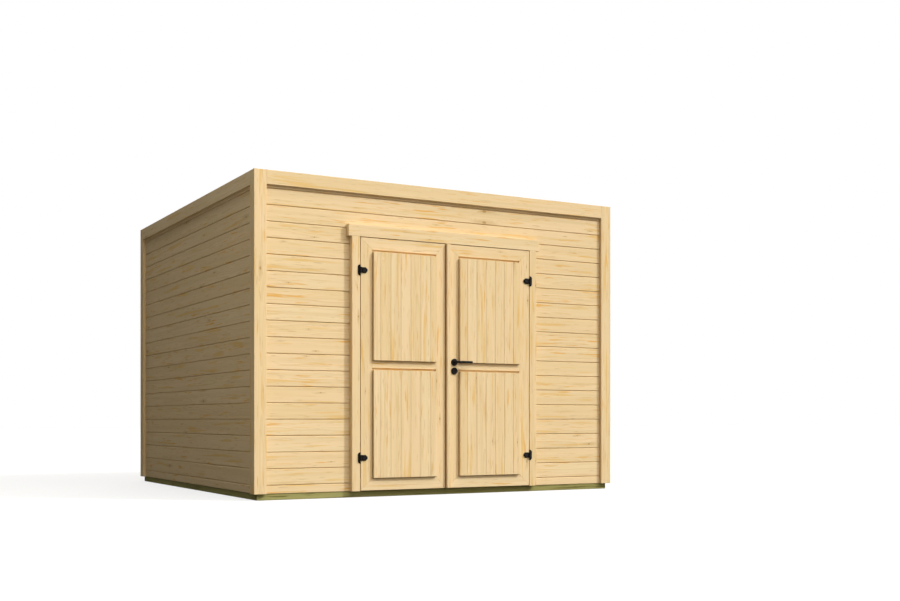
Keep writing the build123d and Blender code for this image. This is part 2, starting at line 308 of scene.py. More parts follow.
def bent_rod(radius, neck, reach, bend, rounding):
    """A round rod that goes straight out by the neck, turns a quarter circle and goes along by the reach.

    Its axis leaves along y and ends along x. The turn's points are its centre less the bend's
    radius times the cosine and the sine of the turn, and the ring at each point is square to the
    axis. The end closes by a quarter circle of its own.
    """
    edge = 2 * METAL_EDGE
    turn = np.linspace(0, QUARTER, BEND_STEPS + 1)
    insets, depths = arris(rounding)
    along = reach - depths[::-1]
    arc = np.column_stack([bend - bend * np.cos(turn), neck - bend + bend * np.sin(turn)])
    straight = np.column_stack([along, np.full(len(along), neck)])
    path = np.concatenate([[(0, 0), (0, edge)], arc, straight])
    turns = np.concatenate([[0, 0], turn, np.full(len(along), QUARTER)])
    radii = np.concatenate([[radius - edge], np.full(len(arc) + 1, radius), radius - insets[::-1]])
    side = np.column_stack([np.cos(turns), -np.sin(turns), np.zeros(len(turns))])
    ring = directions(ROD_CORNERS)
    across = radii[:, None, None] * ring[None, :, 0, None] * side[:, None]
    upward = radii[:, None, None] * ring[None, :, 1, None] * -UP
    centre = np.column_stack([path, np.zeros(len(path))])[:, None]
    return loft(centre + across + upward)


def lapped_sheet(length, width, thickness, lap):
    """A sheet whose last stretch steps up to lie on the next sheet's start.

    The thickness is that of both sheets together, so each one has half of it. The step up is four
    times as long as it is high.
    """
    half = thickness / 2
    step = length - lap
    foot = step - 4 * half
    below = [(0, 0), (foot, 0), (step, half), (length, half)]
    above = [(place, height + half) for place, height in below[::-1]]
    return moulding(np.array(below + above), width, FELT_ARRIS)


class Shapes:
    """Shapes gathered into one mesh."""

    def __init__(self):
        self.places = []
        self.faces = []
        self.count = 0

    def add(self, shape, origin, length, width, trim=None):
        """Adds a shape given in length, width and thickness, laid along two directions from an origin."""
        points, faces = shape
        axes = np.stack([length, width, np.cross(length, width)])
        places = origin + points @ axes
        self.places.append(trim(places) if trim else places)
        self.faces.extend([[corner + self.count for corner in face] for face in faces])
        self.count += len(points)

    def mesh(self, name):
        """All the shapes as one mesh."""
        mesh = bpy.data.meshes.new(name)
        mesh.from_pydata(np.concatenate(self.places).tolist(), [], self.faces)
        return mesh

    def steel_piece(self, name, *nodes, body="shed"):
        """Turns the shapes into one smooth piece of black steel that keeps its sharp edges."""
        mesh = self.mesh(name)
        mesh.shade_smooth()
        mesh.set_sharp_from_angle(angle=SHARP_ANGLE)
        place(mesh, powder_coated_steel(), body, nodes, "black_steel")


class Timber(Shapes):
    """Boards gathered into one mesh, each with its own place in the tree and its own tone."""

    def __init__(self, seed):
        super().__init__()
        self.random = np.random.default_rng(seed)
        self.grains = []
        self.tones = []

    def add(self, shape, origin, length, width, trim=None):
        """Adds a board's shape, with the grain along its length."""
        super().add(shape, origin, length, width, trim)
        points = shape[0]
        self.grains.append(points + self.random.uniform(NEAREST_CUT, FARTHEST_CUT))
        self.tones.append(np.full(len(points), self.random.random()))

    def board(self, low, high, length, face, radius):
        """Adds a straight board that fills a box, by its length's direction and its face's."""
        low, high = np.array(low), np.array(high)
        width = np.cross(face, length)
        size = high - low
        sizes = [abs(size @ length), abs(size @ width), abs(size @ face)]
        origin = (low + high) / 2 - (sizes[0] * length + sizes[1] * width + sizes[2] * face) / 2
        self.add(plank(rectangle(sizes[0], sizes[1]), sizes[2], radius), origin, length, width)

    def piece(self, name, *nodes, body="shed", treated=False):
        """Turns the boards into one object that rides on a body and stands for CAD nodes."""
        mesh = self.mesh(name)
        grain = mesh.attributes.new("grain", "FLOAT_VECTOR", "POINT")
        grain.data.foreach_set("vector", np.concatenate(self.grains).ravel())
        tone = mesh.attributes.new("tone", "FLOAT", "POINT")
        tone.data.foreach_set("value", np.concatenate(self.tones))
        finish, slot = (green_treated_pine(), "treated_pine") if treated else (planed_spruce(), "pine")
        place(mesh, finish, body, nodes, slot)


def single_board(seed, node, run, face, radius, body="shed"):
    """Fills a node with one board, as a piece of its own."""
    timber = Timber(seed)
    timber.board(*sharp_box(node), run, face, radius)
    timber.piece(f"{node}_board", node, body=body)


def upright_boards(seed, node, face, radius):
    """Fills a node's upright solids with a board each, as one piece."""
    low, high = sharp_box(node)
    timber = Timber(seed)
    for left, right in spans(node, 0):
        for near, far in spans(node, 1):
            timber.board((left, near, low[2]), (right, far, high[2]), UP, face, radius)
    timber.piece(f"{node}_boards", node)


def place(mesh, finish, body, nodes, slot):
    """Links a finished mesh as a piece of the shed."""
    mesh.materials.append(finish)
    piece = bpy.data.objects.new(mesh.name, mesh)
    bpy.context.scene.collection.objects.link(piece)
    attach(piece, body)
    if nodes:
        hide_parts(*nodes)


# Finishes


class Value:
    """A socket of a material, on which arithmetic adds Math nodes."""

    def __init__(self, finish, socket):
        self.finish = finish
        self.socket = socket

    def out(self, name):
        """Another output of the same node."""
        return Value(self.finish, self.socket.node.outputs[name])

    def math(self, operation, *inputs):
        """The result of a Math node."""
        return self.finish.node("ShaderNodeMath", {"operation": operation}, dict(enumerate(inputs)))

    def __add__(self, other):
        return self.math("ADD", self, other)

    __radd__ = __add__

    def __sub__(self, other):
        return self.math("SUBTRACT", self, other)

    def __rsub__(self, other):
        return self.math("SUBTRACT", other, self)

    def __mul__(self, other):
        return self.math("MULTIPLY", self, other)

    __rmul__ = __mul__

    def __truediv__(self, other):
        return self.math("DIVIDE", self, other)

    def __gt__(self, other):
        return self.math("GREATER_THAN", self, other)


class Finish:
    """One material or sky, with one method that adds any node."""

    def __init__(self, name, store=None):
        store = bpy.data.materials if store is None else store
        self.material = store.new(name)
        self.material.use_nodes = True
        self.tree = self.material.node_tree
        self.tree.nodes.clear()

    def node(self, kind, settings=None, inputs=None, output=0):
        """Adds a node: its settings first, then the values or links of its sockets."""
        node = self.tree.nodes.new(kind)
        for name, value in (settings or {}).items():
            setattr(node, name, value)
        for key, value in (inputs or {}).items():
            if isinstance(value, Value):
                self.tree.links.new(value.socket, node.inputs[key])
            else:
                node.inputs[key].default_value = value
        return Value(self, node.outputs[output]) if node.outputs else None

    def vector(self, x, y, z):
        """A vector of three values."""
        return self.node("ShaderNodeCombineXYZ", None, {0: x, 1: y, 2: z})

    def noise(self, vector, scale=1.0, detail=2.0):
        """Noise from 0 to 1, with so many features in every unit of the vector."""
        return self.node("ShaderNodeTexNoise", None, {"Vector": vector, "Scale": scale, "Detail": detail})

    def reach(self, first, second):
        """The length of a line by its two sides at a right angle."""
        return first.math("SQRT", first * first + second * second)

    def rise(self, value, low, high):
        """A smooth step from 0 at low to 1 at high."""
        return self.node(
            "ShaderNodeMapRange",
            {"interpolation_type": "SMOOTHSTEP"},
            {"Value": value, "From Min": low, "From Max": high},
        )

    def mix(self, factor, first, second):
        """A colour between two, by a factor."""
        return self.node("ShaderNodeMix", {"data_type": "RGBA"}, {0: factor, 6: first, 7: second}, output=2)

    def close(self, colour, roughness, gloss, height, relief, distance):
        """Ends the material in a Principled shader, whose normal is bumped by a height."""
        bump = {"Strength": relief, "Distance": distance, "Height": height}
        normal = self.node("ShaderNodeBump", None, bump)
        looks = {"Base Color": colour, "Roughness": roughness, "Specular IOR Level": gloss}
        shader = self.node("ShaderNodeBsdfPrincipled", None, {**looks, "Normal": normal})
        self.node("ShaderNodeOutputMaterial", None, {"Surface": shader})
        return self.material


def shade(colour, factor):
    """A colour made lighter or darker by a factor."""
    return (*(channel * factor for channel in colour[:3]), 1.0)


def wood(name, colour_names, roughness):
    """Sawn wood: rings about a pith beside the board, marks along it and small knots.

    The ring is the fraction of the distance from the pith over the ring width, and darkens
    steeply at its end. Each knot is an oval about a random point of a cell, and lifts the rings
    round it. A mark is noise stretched along the board and cut off below a level.
    """
    sizes = bpy.context.scene.shed_grain
    colours = bpy.context.scene.shed_colours
    light, warm, rosy, dark, honey, amber, brown = (getattr(colours, key) for key in colour_names)
    finish = Finish(name)
    grain = finish.node("ShaderNodeAttribute", {"attribute_name": "grain"}, output="Vector")
    tone = finish.node("ShaderNodeAttribute", {"attribute_name": "tone"}, output="Fac")
    parts = finish.node("ShaderNodeSeparateXYZ", None, {0: grain})
    u, v, w = parts, parts.out("Y"), parts.out("Z")

    def drawn_out(length, width, shift=0.0, detail=2.0):
        """Noise whose features are about a length along the board and a width across it."""
        across = 1 / width
        return finish.noise(finish.vector(u * (1 / length) + shift, v * across, w * across), detail=detail)

    def mark(kind):
        """How strongly a kind of mark shows, from 0 to 1."""
        length, width, shift, low, high = MARKS[kind]
        return finish.rise(drawn_out(length, width, tone * shift), low, high)

    slow = drawn_out(*SLOW_BEND) - 0.5
    quick = drawn_out(*QUICK_BEND) - 0.5
    wander = slow * sizes.grain_wander + quick * (sizes.grain_wander * QUICK_SHARE)

    cell = finish.vector(u / sizes.knot_spacing, v / sizes.knot_row, 0.0)
    flat = {"voronoi_dimensions": "2D"}
    knots = finish.node("ShaderNodeTexVoronoi", flat, {"Vector": cell, "Scale": 1.0})
    chance = finish.node("ShaderNodeSeparateColor", None, {0: knots.out("Color")})
    centre = finish.node("ShaderNodeSeparateXYZ", None, {0: knots.out("Position")})
    size = sizes.knot_radius * (chance * chance * 0.8 + 0.25)
    across = v - centre.out("Y") * sizes.knot_row
    along = u - centre * sizes.knot_spacing
    present = chance.out("Green") > sizes.knot_rarity
    knot, halo = (
        present * (1.0 - finish.rise(finish.reach(across, along * shape) / size, *fade))
        for shape, fade in ((KNOT_SHAPE, KNOT_FADE), (HALO_SHAPE, HALO_FADE))
    )

    pith = finish.reach(v + wander, w + wander * 0.6)
    rings = (pith + halo * size * RING_LIFT) / sizes.ring_width
    ring = rings.math("FRACT", rings)
    late = ring * ring * ring * (1.0 - finish.rise(ring, *RING_END))
    fibre = drawn_out(*FIBRES, detail=3.0)

    body = finish.mix(tone, light, warm)
    for cover, tint in (
        (mark("drift") * 0.75, rosy),
        (mark("band") * 0.65, shade(warm, 0.94)),
        (late * 0.4 + finish.rise(fibre, 0.45, 0.8) * 0.12, dark),
        (mark("olive") * 0.45, shade(dark, 1.1)),
        (mark("honey") * (0.4 + fibre * 0.5), honey),
        (mark("amber") * mark("amber_patch") * (0.5 + fibre * 0.75), amber),
        (mark("fleck") * 0.4, brown),
        (halo * halo * 0.55, shade(dark, 0.95)),
        (knot * 0.8, brown),
    ):
        body = finish.mix(cover, body, tint)
    height = late * 0.5 + fibre * 0.35 + knot * 0.3
    roughness = roughness + late * 0.08 - knot * 0.1
    return finish.close(body, roughness, gloss=0.07, height=height, relief=0.35, distance=0.0005)


def made_once(make):
    """Lets a finish be made the first time it is asked for, and found by its name after that."""
    name = make.__name__
    return lambda: bpy.data.materials.get(name) or make(name)


@made_once
def planed_spruce(name):
    """Pale planed spruce, straw to cream, with honey and amber streaks and small brown knots."""
    return wood(name, SPRUCE, roughness=0.74)


@made_once
def green_treated_pine(name):
    """Green pressure-treated pine of the base frame."""
    return wood(name, TREATED, roughness=0.82)


@made_once
def mineral_felt(name):
    """Dark mineral felt: a matt sheet with fine pale granules."""
    felt = bpy.context.scene.shed_colours.felt
    finish = Finish(name)
    here = finish.node("ShaderNodeTexCoord", output="Object")
    granules = finish.node("ShaderNodeTexVoronoi", None, {"Vector": here, "Scale": 420.0})
    speck = finish.node("ShaderNodeSeparateColor", None, {0: granules.out("Color")})
    patch = finish.rise(finish.noise(here, scale=2.2, detail=4.0), 0.35, 0.75)
    body = finish.mix(finish.rise(speck, 0.55, 1.0) * 0.6, felt, shade(felt, 3.2))
    body = finish.mix(patch * 0.6, body, shade(felt, 2.2))
    return finish.close(body, 0.92, gloss=0.1, height=speck, relief=0.6, distance=0.0008)


@made_once
def powder_coated_steel(name):
    """Black powder-coated steel: satin, with the coat's fine orange peel."""
    steel = bpy.context.scene.shed_colours.steel
    finish = Finish(name)
    here = finish.node("ShaderNodeTexCoord", output="Object")
    peel = finish.noise(here, scale=900.0)
    wear = finish.noise(here, scale=60.0, detail=3.0)
    body = finish.mix(finish.rise(wear, 0.45, 0.75) * 0.5, steel, shade(steel, 1.8))
    return finish.close(body, 0.48 + wear * 0.12, gloss=0.08, height=peel, relief=0.25, distance=0.0003)


def dress(node, finish):
    """Gives a CAD node a finish, and leaves its mesh alone."""
    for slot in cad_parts[node].material_slots:
        slot.link = "OBJECT"
        slot.material = finish


# Sizes and colours that a user would change


def metres(name, description, default):
    """A length in metres for a property group."""
    return bpy.props.FloatProperty(
        name=name, description=description, default=default, min=0.0, subtype="DISTANCE", precision=4
    )


def offset(name, description, default):
    """A place in metres on either side of zero for a property group."""
    return bpy.props.FloatProperty(name=name, description=description, default=default, unit="LENGTH")


def colour(name, description, default):
    """A linear colour for a property group."""
    return bpy.props.FloatVectorProperty(
        name=name, description=description, default=default, size=4, min=0.0, max=1.0, subtype="COLOR"
    )


def number(name, description, default):
    """A plain number for a property group."""
    return bpy.props.FloatProperty(name=name, description=description, default=default)


def angle(name, description, degrees):
    """An angle for a property group, written in degrees."""
    return bpy.props.FloatProperty(
        name=name, description=description, default=math.radians(degrees), subtype="ANGLE"
    )


class ShedBoards(bpy.types.PropertyGroup):
    """Sizes of the boards, which the solids leave plain."""

    wall_cover: metres("Wall cover", "Height that each wall board covers", 0.1134)
    first_joint: metres("First joint", "Height of the lowest wall joint above the boards' foot", 0.058)
    wall_chamfer: metres("Wall chamfer", "Chamfer at each wall joint", 0.003)
    joint_gap: metres("Joint gap", "Half the open width of a wall joint", 0.0018)
    joint_depth: metres("Joint depth", "Depth of the open part of a joint", 0.009)
    panel_cover: metres("Panel cover", "Width that each door panel board covers", 0.081)
    panel_gap: metres("Panel gap", "Gap beside and below each raised door panel", 0.003)
    panel_top_gap: metres("Panel top gap", "Gap above each raised door panel", 0.016)
    rebate_seat: metres("Rebate seat", "Width of the rebate under each door panel", 0.015)
    panel_chamfer: metres("Panel chamfer", "Chamfer at each joint of a door panel", 0.0012)
    panel_slot: metres("Panel slot", "Half the open width of a door panel's joint", 0.0005)
    felt_width: metres("Felt width", "Width of a sheet of felt", 1.0)
    felt_lap: metres("Felt lap", "Overlap of two sheets of felt", 0.08)
    deck_cover: metres("Deck cover", "Width that each roof and floor board covers", 0.094)
    arris: metres("Arris", "Radius of the rounded arrises on trims and casings", 0.002)
    member_arris: metres("Member arris", "Radius of the arrises on the leaves' frames", 0.0015)


class ShedFittings(bpy.types.PropertyGroup):
    """Sizes of the lock furniture and the screws."""

    plate_height: metres("Plate height", "Height of a hinge plate", 0.079)
    plate_thickness: metres("Plate thickness", "Thickness of a hinge plate", 0.004)
    screw_radius: metres("Screw radius", "Radius of a screw's head", 0.0036)
    screw_height: metres("Screw height", "Height of a screw's head", 0.0018)
    screw_inset: metres("Screw inset", "Distance of the screws from the hinge's pin", 0.0095)
    screw_spacing: metres("Screw spacing", "Distance between a plate's two screws", 0.058)
    shoulder: metres("Shoulder", "Radius of a rosette's rounded shoulder", 0.003)
    collar_radius: metres("Collar radius", "Radius of the recess round the lever", 0.0108)
    recess: metres("Recess", "Depth of the recess in a rosette", 0.0018)
    lever_bend: metres("Lever bend", "Radius of the lever's bend at its axis", 0.014)
    lever_rounding: metres("Lever rounding", "Radius of the rounding at the lever's end", 0.0063)


class ShedGrain(bpy.types.PropertyGroup):
    """Sizes of the wood's figure."""

    ring_width: metres("Ring width", "Width of one year's growth", 0.0042)
    grain_wander: metres("Grain wander", "How far the grain wanders along a board", 0.03)
    knot_radius: metres("Knot radius", "Radius of the largest knots", 0.010)
    knot_spacing: metres("Knot spacing", "Length of board for each knot", 0.42)
    knot_row: metres("Knot row", "Width of board for each knot", 0.075)
    knot_rarity: number("Knot rarity", "Share of the places that stay without a knot", 0.8)


class ShedColours(bpy.types.PropertyGroup):
    """Linear colours of the finishes."""

    spruce_light: colour("Spruce light", "Pale cream wood", (0.83, 0.65, 0.395, 1))
    spruce_warm: colour("Spruce warm", "Straw-coloured wood", (0.79, 0.59, 0.325, 1))
    spruce_rosy: colour("Spruce rosy", "Faintly rosy wood", (0.84, 0.625, 0.375, 1))
    spruce_dark: colour("Spruce dark", "Latewood", (0.60, 0.41, 0.185, 1))
    honey: colour("Honey", "Long honey streaks", (0.73, 0.46, 0.145, 1))
    amber: colour("Amber", "Short amber streaks", (0.73, 0.38, 0.075, 1))
    knot: colour("Knot", "Knots", (0.43, 0.24, 0.095, 1))
    treated_light: colour("Treated light", "Green treated wood", (0.375, 0.35, 0.135, 1))
    treated_warm: colour("Treated warm", "Olive treated wood", (0.32, 0.29, 0.10, 1))
    treated_dark: colour("Treated dark", "Latewood of the treated wood", (0.15, 0.135, 0.04, 1))
    felt: colour("Felt", "Roofing felt", (0.035, 0.036, 0.04, 1))
    steel: colour("Steel", "Black coated steel", (0.008, 0.0065, 0.006, 1))


class ShedStage(bpy.types.PropertyGroup):
    """Camera and light."""

    camera_x: offset("Camera X", "Camera to the right of the shed's middle", -4.230)
    camera_y: offset("Camera Y", "Camera behind the shed's middle", -9.117)
    camera_height: metres("Camera height", "Camera above the ground", 0.554)
    camera_turn: angle("Camera turn", "Turn to the right from square on", 29.18)
    focal_pixels: number("Focal length", "Focal length in pixels of a frame 900 wide", 1175.0)
    horizon_pixels: number("Horizon", "Horizon below the middle, in pixels of a frame 900 wide", 119.1)
    left_power: number("Left power", "Power of the softbox on the left, in watts", 21.0)
    left_size: metres("Left size", "Side of the softbox on the left", 2.5)
    left_x: offset("Left X", "Softbox to the right of the shed's middle", -4.3)
    left_y: offset("Left Y", "Softbox behind the shed's middle", -3.0)
    left_height: metres("Left height", "Softbox above the ground", 3.0)
    left_tilt: angle("Left tilt", "Turn of the softbox up from straight down", 68.0)
    left_bearing: angle("Left bearing", "Turn of the softbox from facing the back", -52.0)
    sky_strength: number("Sky strength", "Strength of the even sky", 0.02)
    floor_bounce: colour("Floor bounce", "Floor that lights the shed", (0.11, 0.108, 0.101, 1))
    floor_shown: colour("Floor shown", "Floor as it is seen", (0.92, 0.92, 0.92, 1))


# Distant lamps: what each one is, with its strength, width, height and bearing in degrees
LAMPS = {
    "key": ("the sun", 2.0, 1.0, 37.5, 49.0),
    "glow": ("the bright sky round the sun", 0.3, 60.0, 42.0, 40.0),
    "low": ("the low soft light at the front right", 1.58, 80.0, 22.0, 30.0),
    "high": ("the high soft light in front", 1.75, 70.0, 60.0, 10.0),
    "back": ("the soft light behind", 1.8, 50.0, 35.0, 172.0),
}
for lamp, (words, strength, spread, height, bearing) in LAMPS.items():
    label = lamp.capitalize()
    ShedStage.__annotations__ |= {
        f"{lamp}_strength": number(f"{label} strength", f"Strength of {words}", strength),
        f"{lamp}_spread": angle(f"{label} spread", f"Width of {words}", spread),
        f"{lamp}_height": angle(f"{label} height", f"Height of {words} above the floor", height),
        f"{lamp}_bearing": angle(f"{label} bearing", f"Direction of {words}, right of the front", bearing),
    }


# Pieces


class SHED_OT_base(bpy.types.Operator):
    """Base frame of treated beams, and the joists between them"""

    bl_idname = "shed.base"
    bl_label = "Base frame"

    def execute(self, context):
        for seed, side in enumerate(SIDES, 100):
            node = f"base_beam_{side}"
            run = ACROSS if side in ("front", "back") else ALONG
            timber = Timber(seed)
            timber.board(*sharp_box(node), run, UP, BEAM_ARRIS)
            timber.piece(f"beam_{side}", node, treated=True)
        timber = Timber(110)
        low, high = sharp_box("floor_joists")
        for left, right in spans("floor_joists", 0):
            timber.board((left, low[1], low[2]), (right, high[1], high[2]), ALONG, UP, BEAM_ARRIS)
        timber.piece("joists_under_floor", "floor_joists", treated=True)
        return {"FINISHED"}


class SHED_OT_floor(bpy.types.Operator):
    """Floor boards laid across the joists"""

    bl_idname = "shed.floor"
    bl_label = "Floor"

    def execute(self, context):
        sizes = context.scene.shed_boards
        low, high = sharp_box("floor")
        across, along, thickness = high - low
        timber = Timber(120)
        lay_boards(timber, sizes, low, across, along, ALONG, thickness, FLOOR_JOINT)
        timber.piece("floor_boards", "floor")
        return {"FINISHED"}


def lay_boards(timber, sizes, origin, length, run, direction, thickness, joint):
    """Lays boards of one length side by side along a run, with the last one cut to fit."""
    count = math.ceil(run / sizes.deck_cover)
    edges = np.minimum(sizes.deck_cover * np.arange(count + 1), run)
    for near, far in zip(edges[:-1], edges[1:]):
        profile = jointed_profile(far - near, thickness, joint)
        timber.add(moulding(profile, length), origin + direction * near, ACROSS, direction)


def roof_line():
    """Gives the wall tops' height at y: a straight line from the side walls' front to the back wall."""
    front = sharp_box("left_wall")
    back = sharp_box("back_wall")
    start, end = front[0][1], back[0][1]
    fall = (front[1][2] - back[1][2]) / (end - start)
    return lambda y: front[1][2] - fall * (y - start)


def wall_levels(sizes, bottom, top):
    """Heights of the joints of a wall, with its lower edge and its top."""
    base = sharp_box("front_wall_left")[0][2]
    joints = np.arange(base + sizes.first_joint, top, sizes.wall_cover)
    joints = joints[(joints > bottom + LEAST_BOARD) & (joints < top - LEAST_BOARD)]
    return np.concatenate([[bottom], joints, [top]])


def wall_boards(timber, sizes, low, high, outward, below=False, above=False):
    """Stacks tongued boards in a wall's box, cut to the roof's fall at the top.

    Below and above tell whether the lowest and the highest board meet a board of another stack.
    """
    height = roof_line()

    def cut_to_roof(places):
        places[:, 2] = np.minimum(places[:, 2], height(places[:, 1]))
        return places

    run = np.cross(UP, outward)
    thickness = abs((high - low) @ outward)
    length = abs((high - low) @ run)
    middle = (low + high) / 2
    levels = wall_levels(sizes, low[2], high[2])
    joint = (sizes.wall_chamfer, sizes.joint_gap, sizes.joint_depth)
    for bottom, top in zip(levels[:-1], levels[1:]):
        near, far = below or bottom > levels[0], above or top < levels[-1]
        profile = jointed_profile(top - bottom, thickness, joint, near, far)
        origin = middle - outward * thickness / 2 - run * length / 2
        origin[2] = bottom
        timber.add(moulding(profile, length), origin, run, UP, cut_to_roof)


class SHED_OT_walls(bpy.types.Operator):
    """Walls of tongued boards: the front's stand beside the doorway, and run through above it"""

    bl_idname = "shed.walls"
    bl_label = "Walls"

    def execute(self, context):
        sizes = context.scene.shed_boards
        outer = {"left_wall": -ACROSS, "right_wall": ACROSS, "back_wall": ALONG}
        for seed, (node, outward) in enumerate(outer.items(), 200):
            timber = Timber(seed)
            wall_boards(timber, sizes, *sharp_box(node), outward)
            timber.piece(f"{node}_boards", node)

        nodes = ("front_wall_left", "front_wall_right", "front_wall_over_door")
        boxes = np.array([sharp_box(node) for node in nodes])
        low, high = boxes[:, 0].min(0), boxes[:, 1].max(0)
        levels = wall_levels(sizes, low[2], high[2])
        door_top = boxes[-1, 0, 2]
        boxes[:, 1, 2] = low[2] = levels[levels > door_top][0]
        timber = Timber(210)
        for start, end in boxes:
            wall_boards(timber, sizes, start, end, -ALONG, above=True)
        wall_boards(timber, sizes, low, high, -ALONG, below=True)
        timber.piece("front_wall_boards", *nodes)
        return {"FINISHED"}


class SHED_OT_trims(bpy.types.Operator):
    """Corner posts inside, corner trims and fascias outside"""

    bl_idname = "shed.trims"
    bl_label = "Posts, trims and fascias"

    def execute(self, context):
        sizes = context.scene.shed_boards
        faces = {"corner_posts": ALONG, "corner_trims_front_back": ALONG, "corner_trims_sides": ACROSS}
        for seed, (node, face) in enumerate(faces.items(), 300):
            upright_boards(seed, node, face, sizes.arris)
        for seed, side in enumerate(SIDES, 310):
            run, face = (ACROSS, ALONG) if side in ("front", "back") else (ALONG, ACROSS)
            single_board(seed, f"fascia_{side}", run, face, sizes.arris)
        return {"FINISHED"}


class SHED_OT_roof(bpy.types.Operator):
    """Roof joists, deck boards and lapped felt"""

    bl_idname = "shed.roof"
    bl_label = "Roof"

    def execute(self, context):
        sizes = context.scene.shed_boards
        low, high = sharp_box("roof_deck")
        height = roof_line()(low[1])
        length, slope = roof_fall(low, high)
        timber = Timber(400)
        origin = np.array((low[0], low[1], height))
        lay_boards(timber, sizes, origin, high[0] - low[0], length, slope, high[2] - height, DECK_JOINT)
        timber.piece("roof_deck_boards", "roof_deck")

        timber = Timber(410)
        outline = notched_outline("roof_joists")
        for left, right in spans("roof_joists", 0):
            timber.add(plank(outline, right - left, JOIST_ARRIS), np.array((left, 0, 0)), ALONG, UP)
        timber.piece("roof_joist_boards", "roof_joists")

        low, high = sharp_box("roof_membrane")
        length, slope = roof_fall(low, high)
        width = high[0] - low[0]
        origin = np.array((low[0], low[1], high[2] - FELT_THICKNESS))
        felt = Shapes()
        for start in np.arange(0, length - sizes.felt_lap, sizes.felt_width - sizes.felt_lap):
            if start + sizes.felt_width < length:
                sheet = lapped_sheet(sizes.felt_width, width, FELT_THICKNESS, sizes.felt_lap)
            else:
                sheet = moulding(rectangle(length - start, FELT_THICKNESS / 2), width, FELT_ARRIS)
            felt.add(sheet, origin + slope * start, ACROSS, slope)
        place(felt.mesh("roof_felt"), mineral_felt(), "shed", ["roof_membrane"], "roofing_felt")
        return {"FINISHED"}


def roof_fall(low, high):
    """The roof's length over a box, measured down its fall, and the fall's direction."""
    height = roof_line()
    fall = np.array((0, high[1] - low[1], height(high[1]) - height(low[1])))
    length = np.linalg.norm(fall)
    return length, fall / length


def notched_outline(node):
    """The outline in Y and Z that a node's like boards share, along its bottom and back over its top.

    The bottom's points go in order of y, and by height where two share a y: down at the front's
    notch and up at the back's.
    """
    points = np.unique(corners_of(node)[:, 1:], axis=0)
    ends = points[[points[:, 0].argmin(), points[:, 0].argmax()]][:, 0]
    top = np.array([(end, points[points[:, 0] == end, 1].max()) for end in ends])
    is_top = (points[:, None] == top).all(2).any(1)
    bottom = points[~is_top]
    bottom = bottom[np.lexsort((bottom[:, 1] * np.sign(bottom[:, 0]), bottom[:, 0]))]
    return np.concatenate([bottom, top[::-1]])


class SHED_OT_doorway(bpy.types.Operator):
    """Jambs, head and sill of the doorway, and the casings on the wall"""

    bl_idname = "shed.doorway"
    bl_label = "Doorway"

    def execute(self, context):
        sizes = context.scene.shed_boards
        for seed, node in enumerate(("door_jambs", "side_casings"), 500):
            upright_boards(seed, node, ALONG, sizes.arris)
        for seed, node in enumerate(("door_head", "door_sill", "head_casing"), 510):
            single_board(seed, node, ACROSS, ALONG, sizes.arris)
        return {"FINISHED"}


def mitred_member(timber, corners, depths, radius, upright):
    """Adds one member of a leaf's frame in two layers: its face, and a back with the rebate's lip.

    corners holds, for each end of the member, its corner of the leaf, of the opening and of the seat.
    """
    first, second = corners
    front, rebate, back = depths
    face_outline = np.array([first[0], second[0], second[1], first[1]])
    back_outline = np.array([*second, *first[::-1]])
    length, width = (UP, -ACROSS) if upright else (ACROSS, UP)
    for outline, far, thickness, radii in (
        (face_outline, rebate, rebate - front, (0, radius)),
        (back_outline, back, back - rebate, (radius, 0)),
    ):
        laid = np.column_stack([outline[:, 1], -outline[:, 0]]) if upright else outline
        timber.add(plank(laid, thickness, radii[0], far_radius=radii[1]), ALONG * far, length, width)


def panel_boards(timber, sizes, node):
    """Fills a raised panel with upright tongued boards, centred so that both outer ones are cut alike."""
    low, high = sharp_box(node)
    width = high[0] - low[0]
    count = math.floor(width / sizes.panel_cover)
    first = (width - count * sizes.panel_cover) / 2
    if first < sizes.panel_cover / 2:
        count -= 1
        first += sizes.panel_cover / 2
    joints = first + sizes.panel_cover * np.arange(count + 1)
    edges = low[0] + np.concatenate([[0], joints, [width]])
    joint = (sizes.panel_chamfer, sizes.panel_slot, sizes.joint_depth)
    for left, right in zip(edges[:-1], edges[1:]):
        profile = jointed_profile(right - left, high[1] - low[1], joint, left > edges[0], right < edges[-1])
        origin = np.array((left, low[1], low[2]))
        timber.add(moulding(profile, high[2] - low[2]), origin, UP, ACROSS)


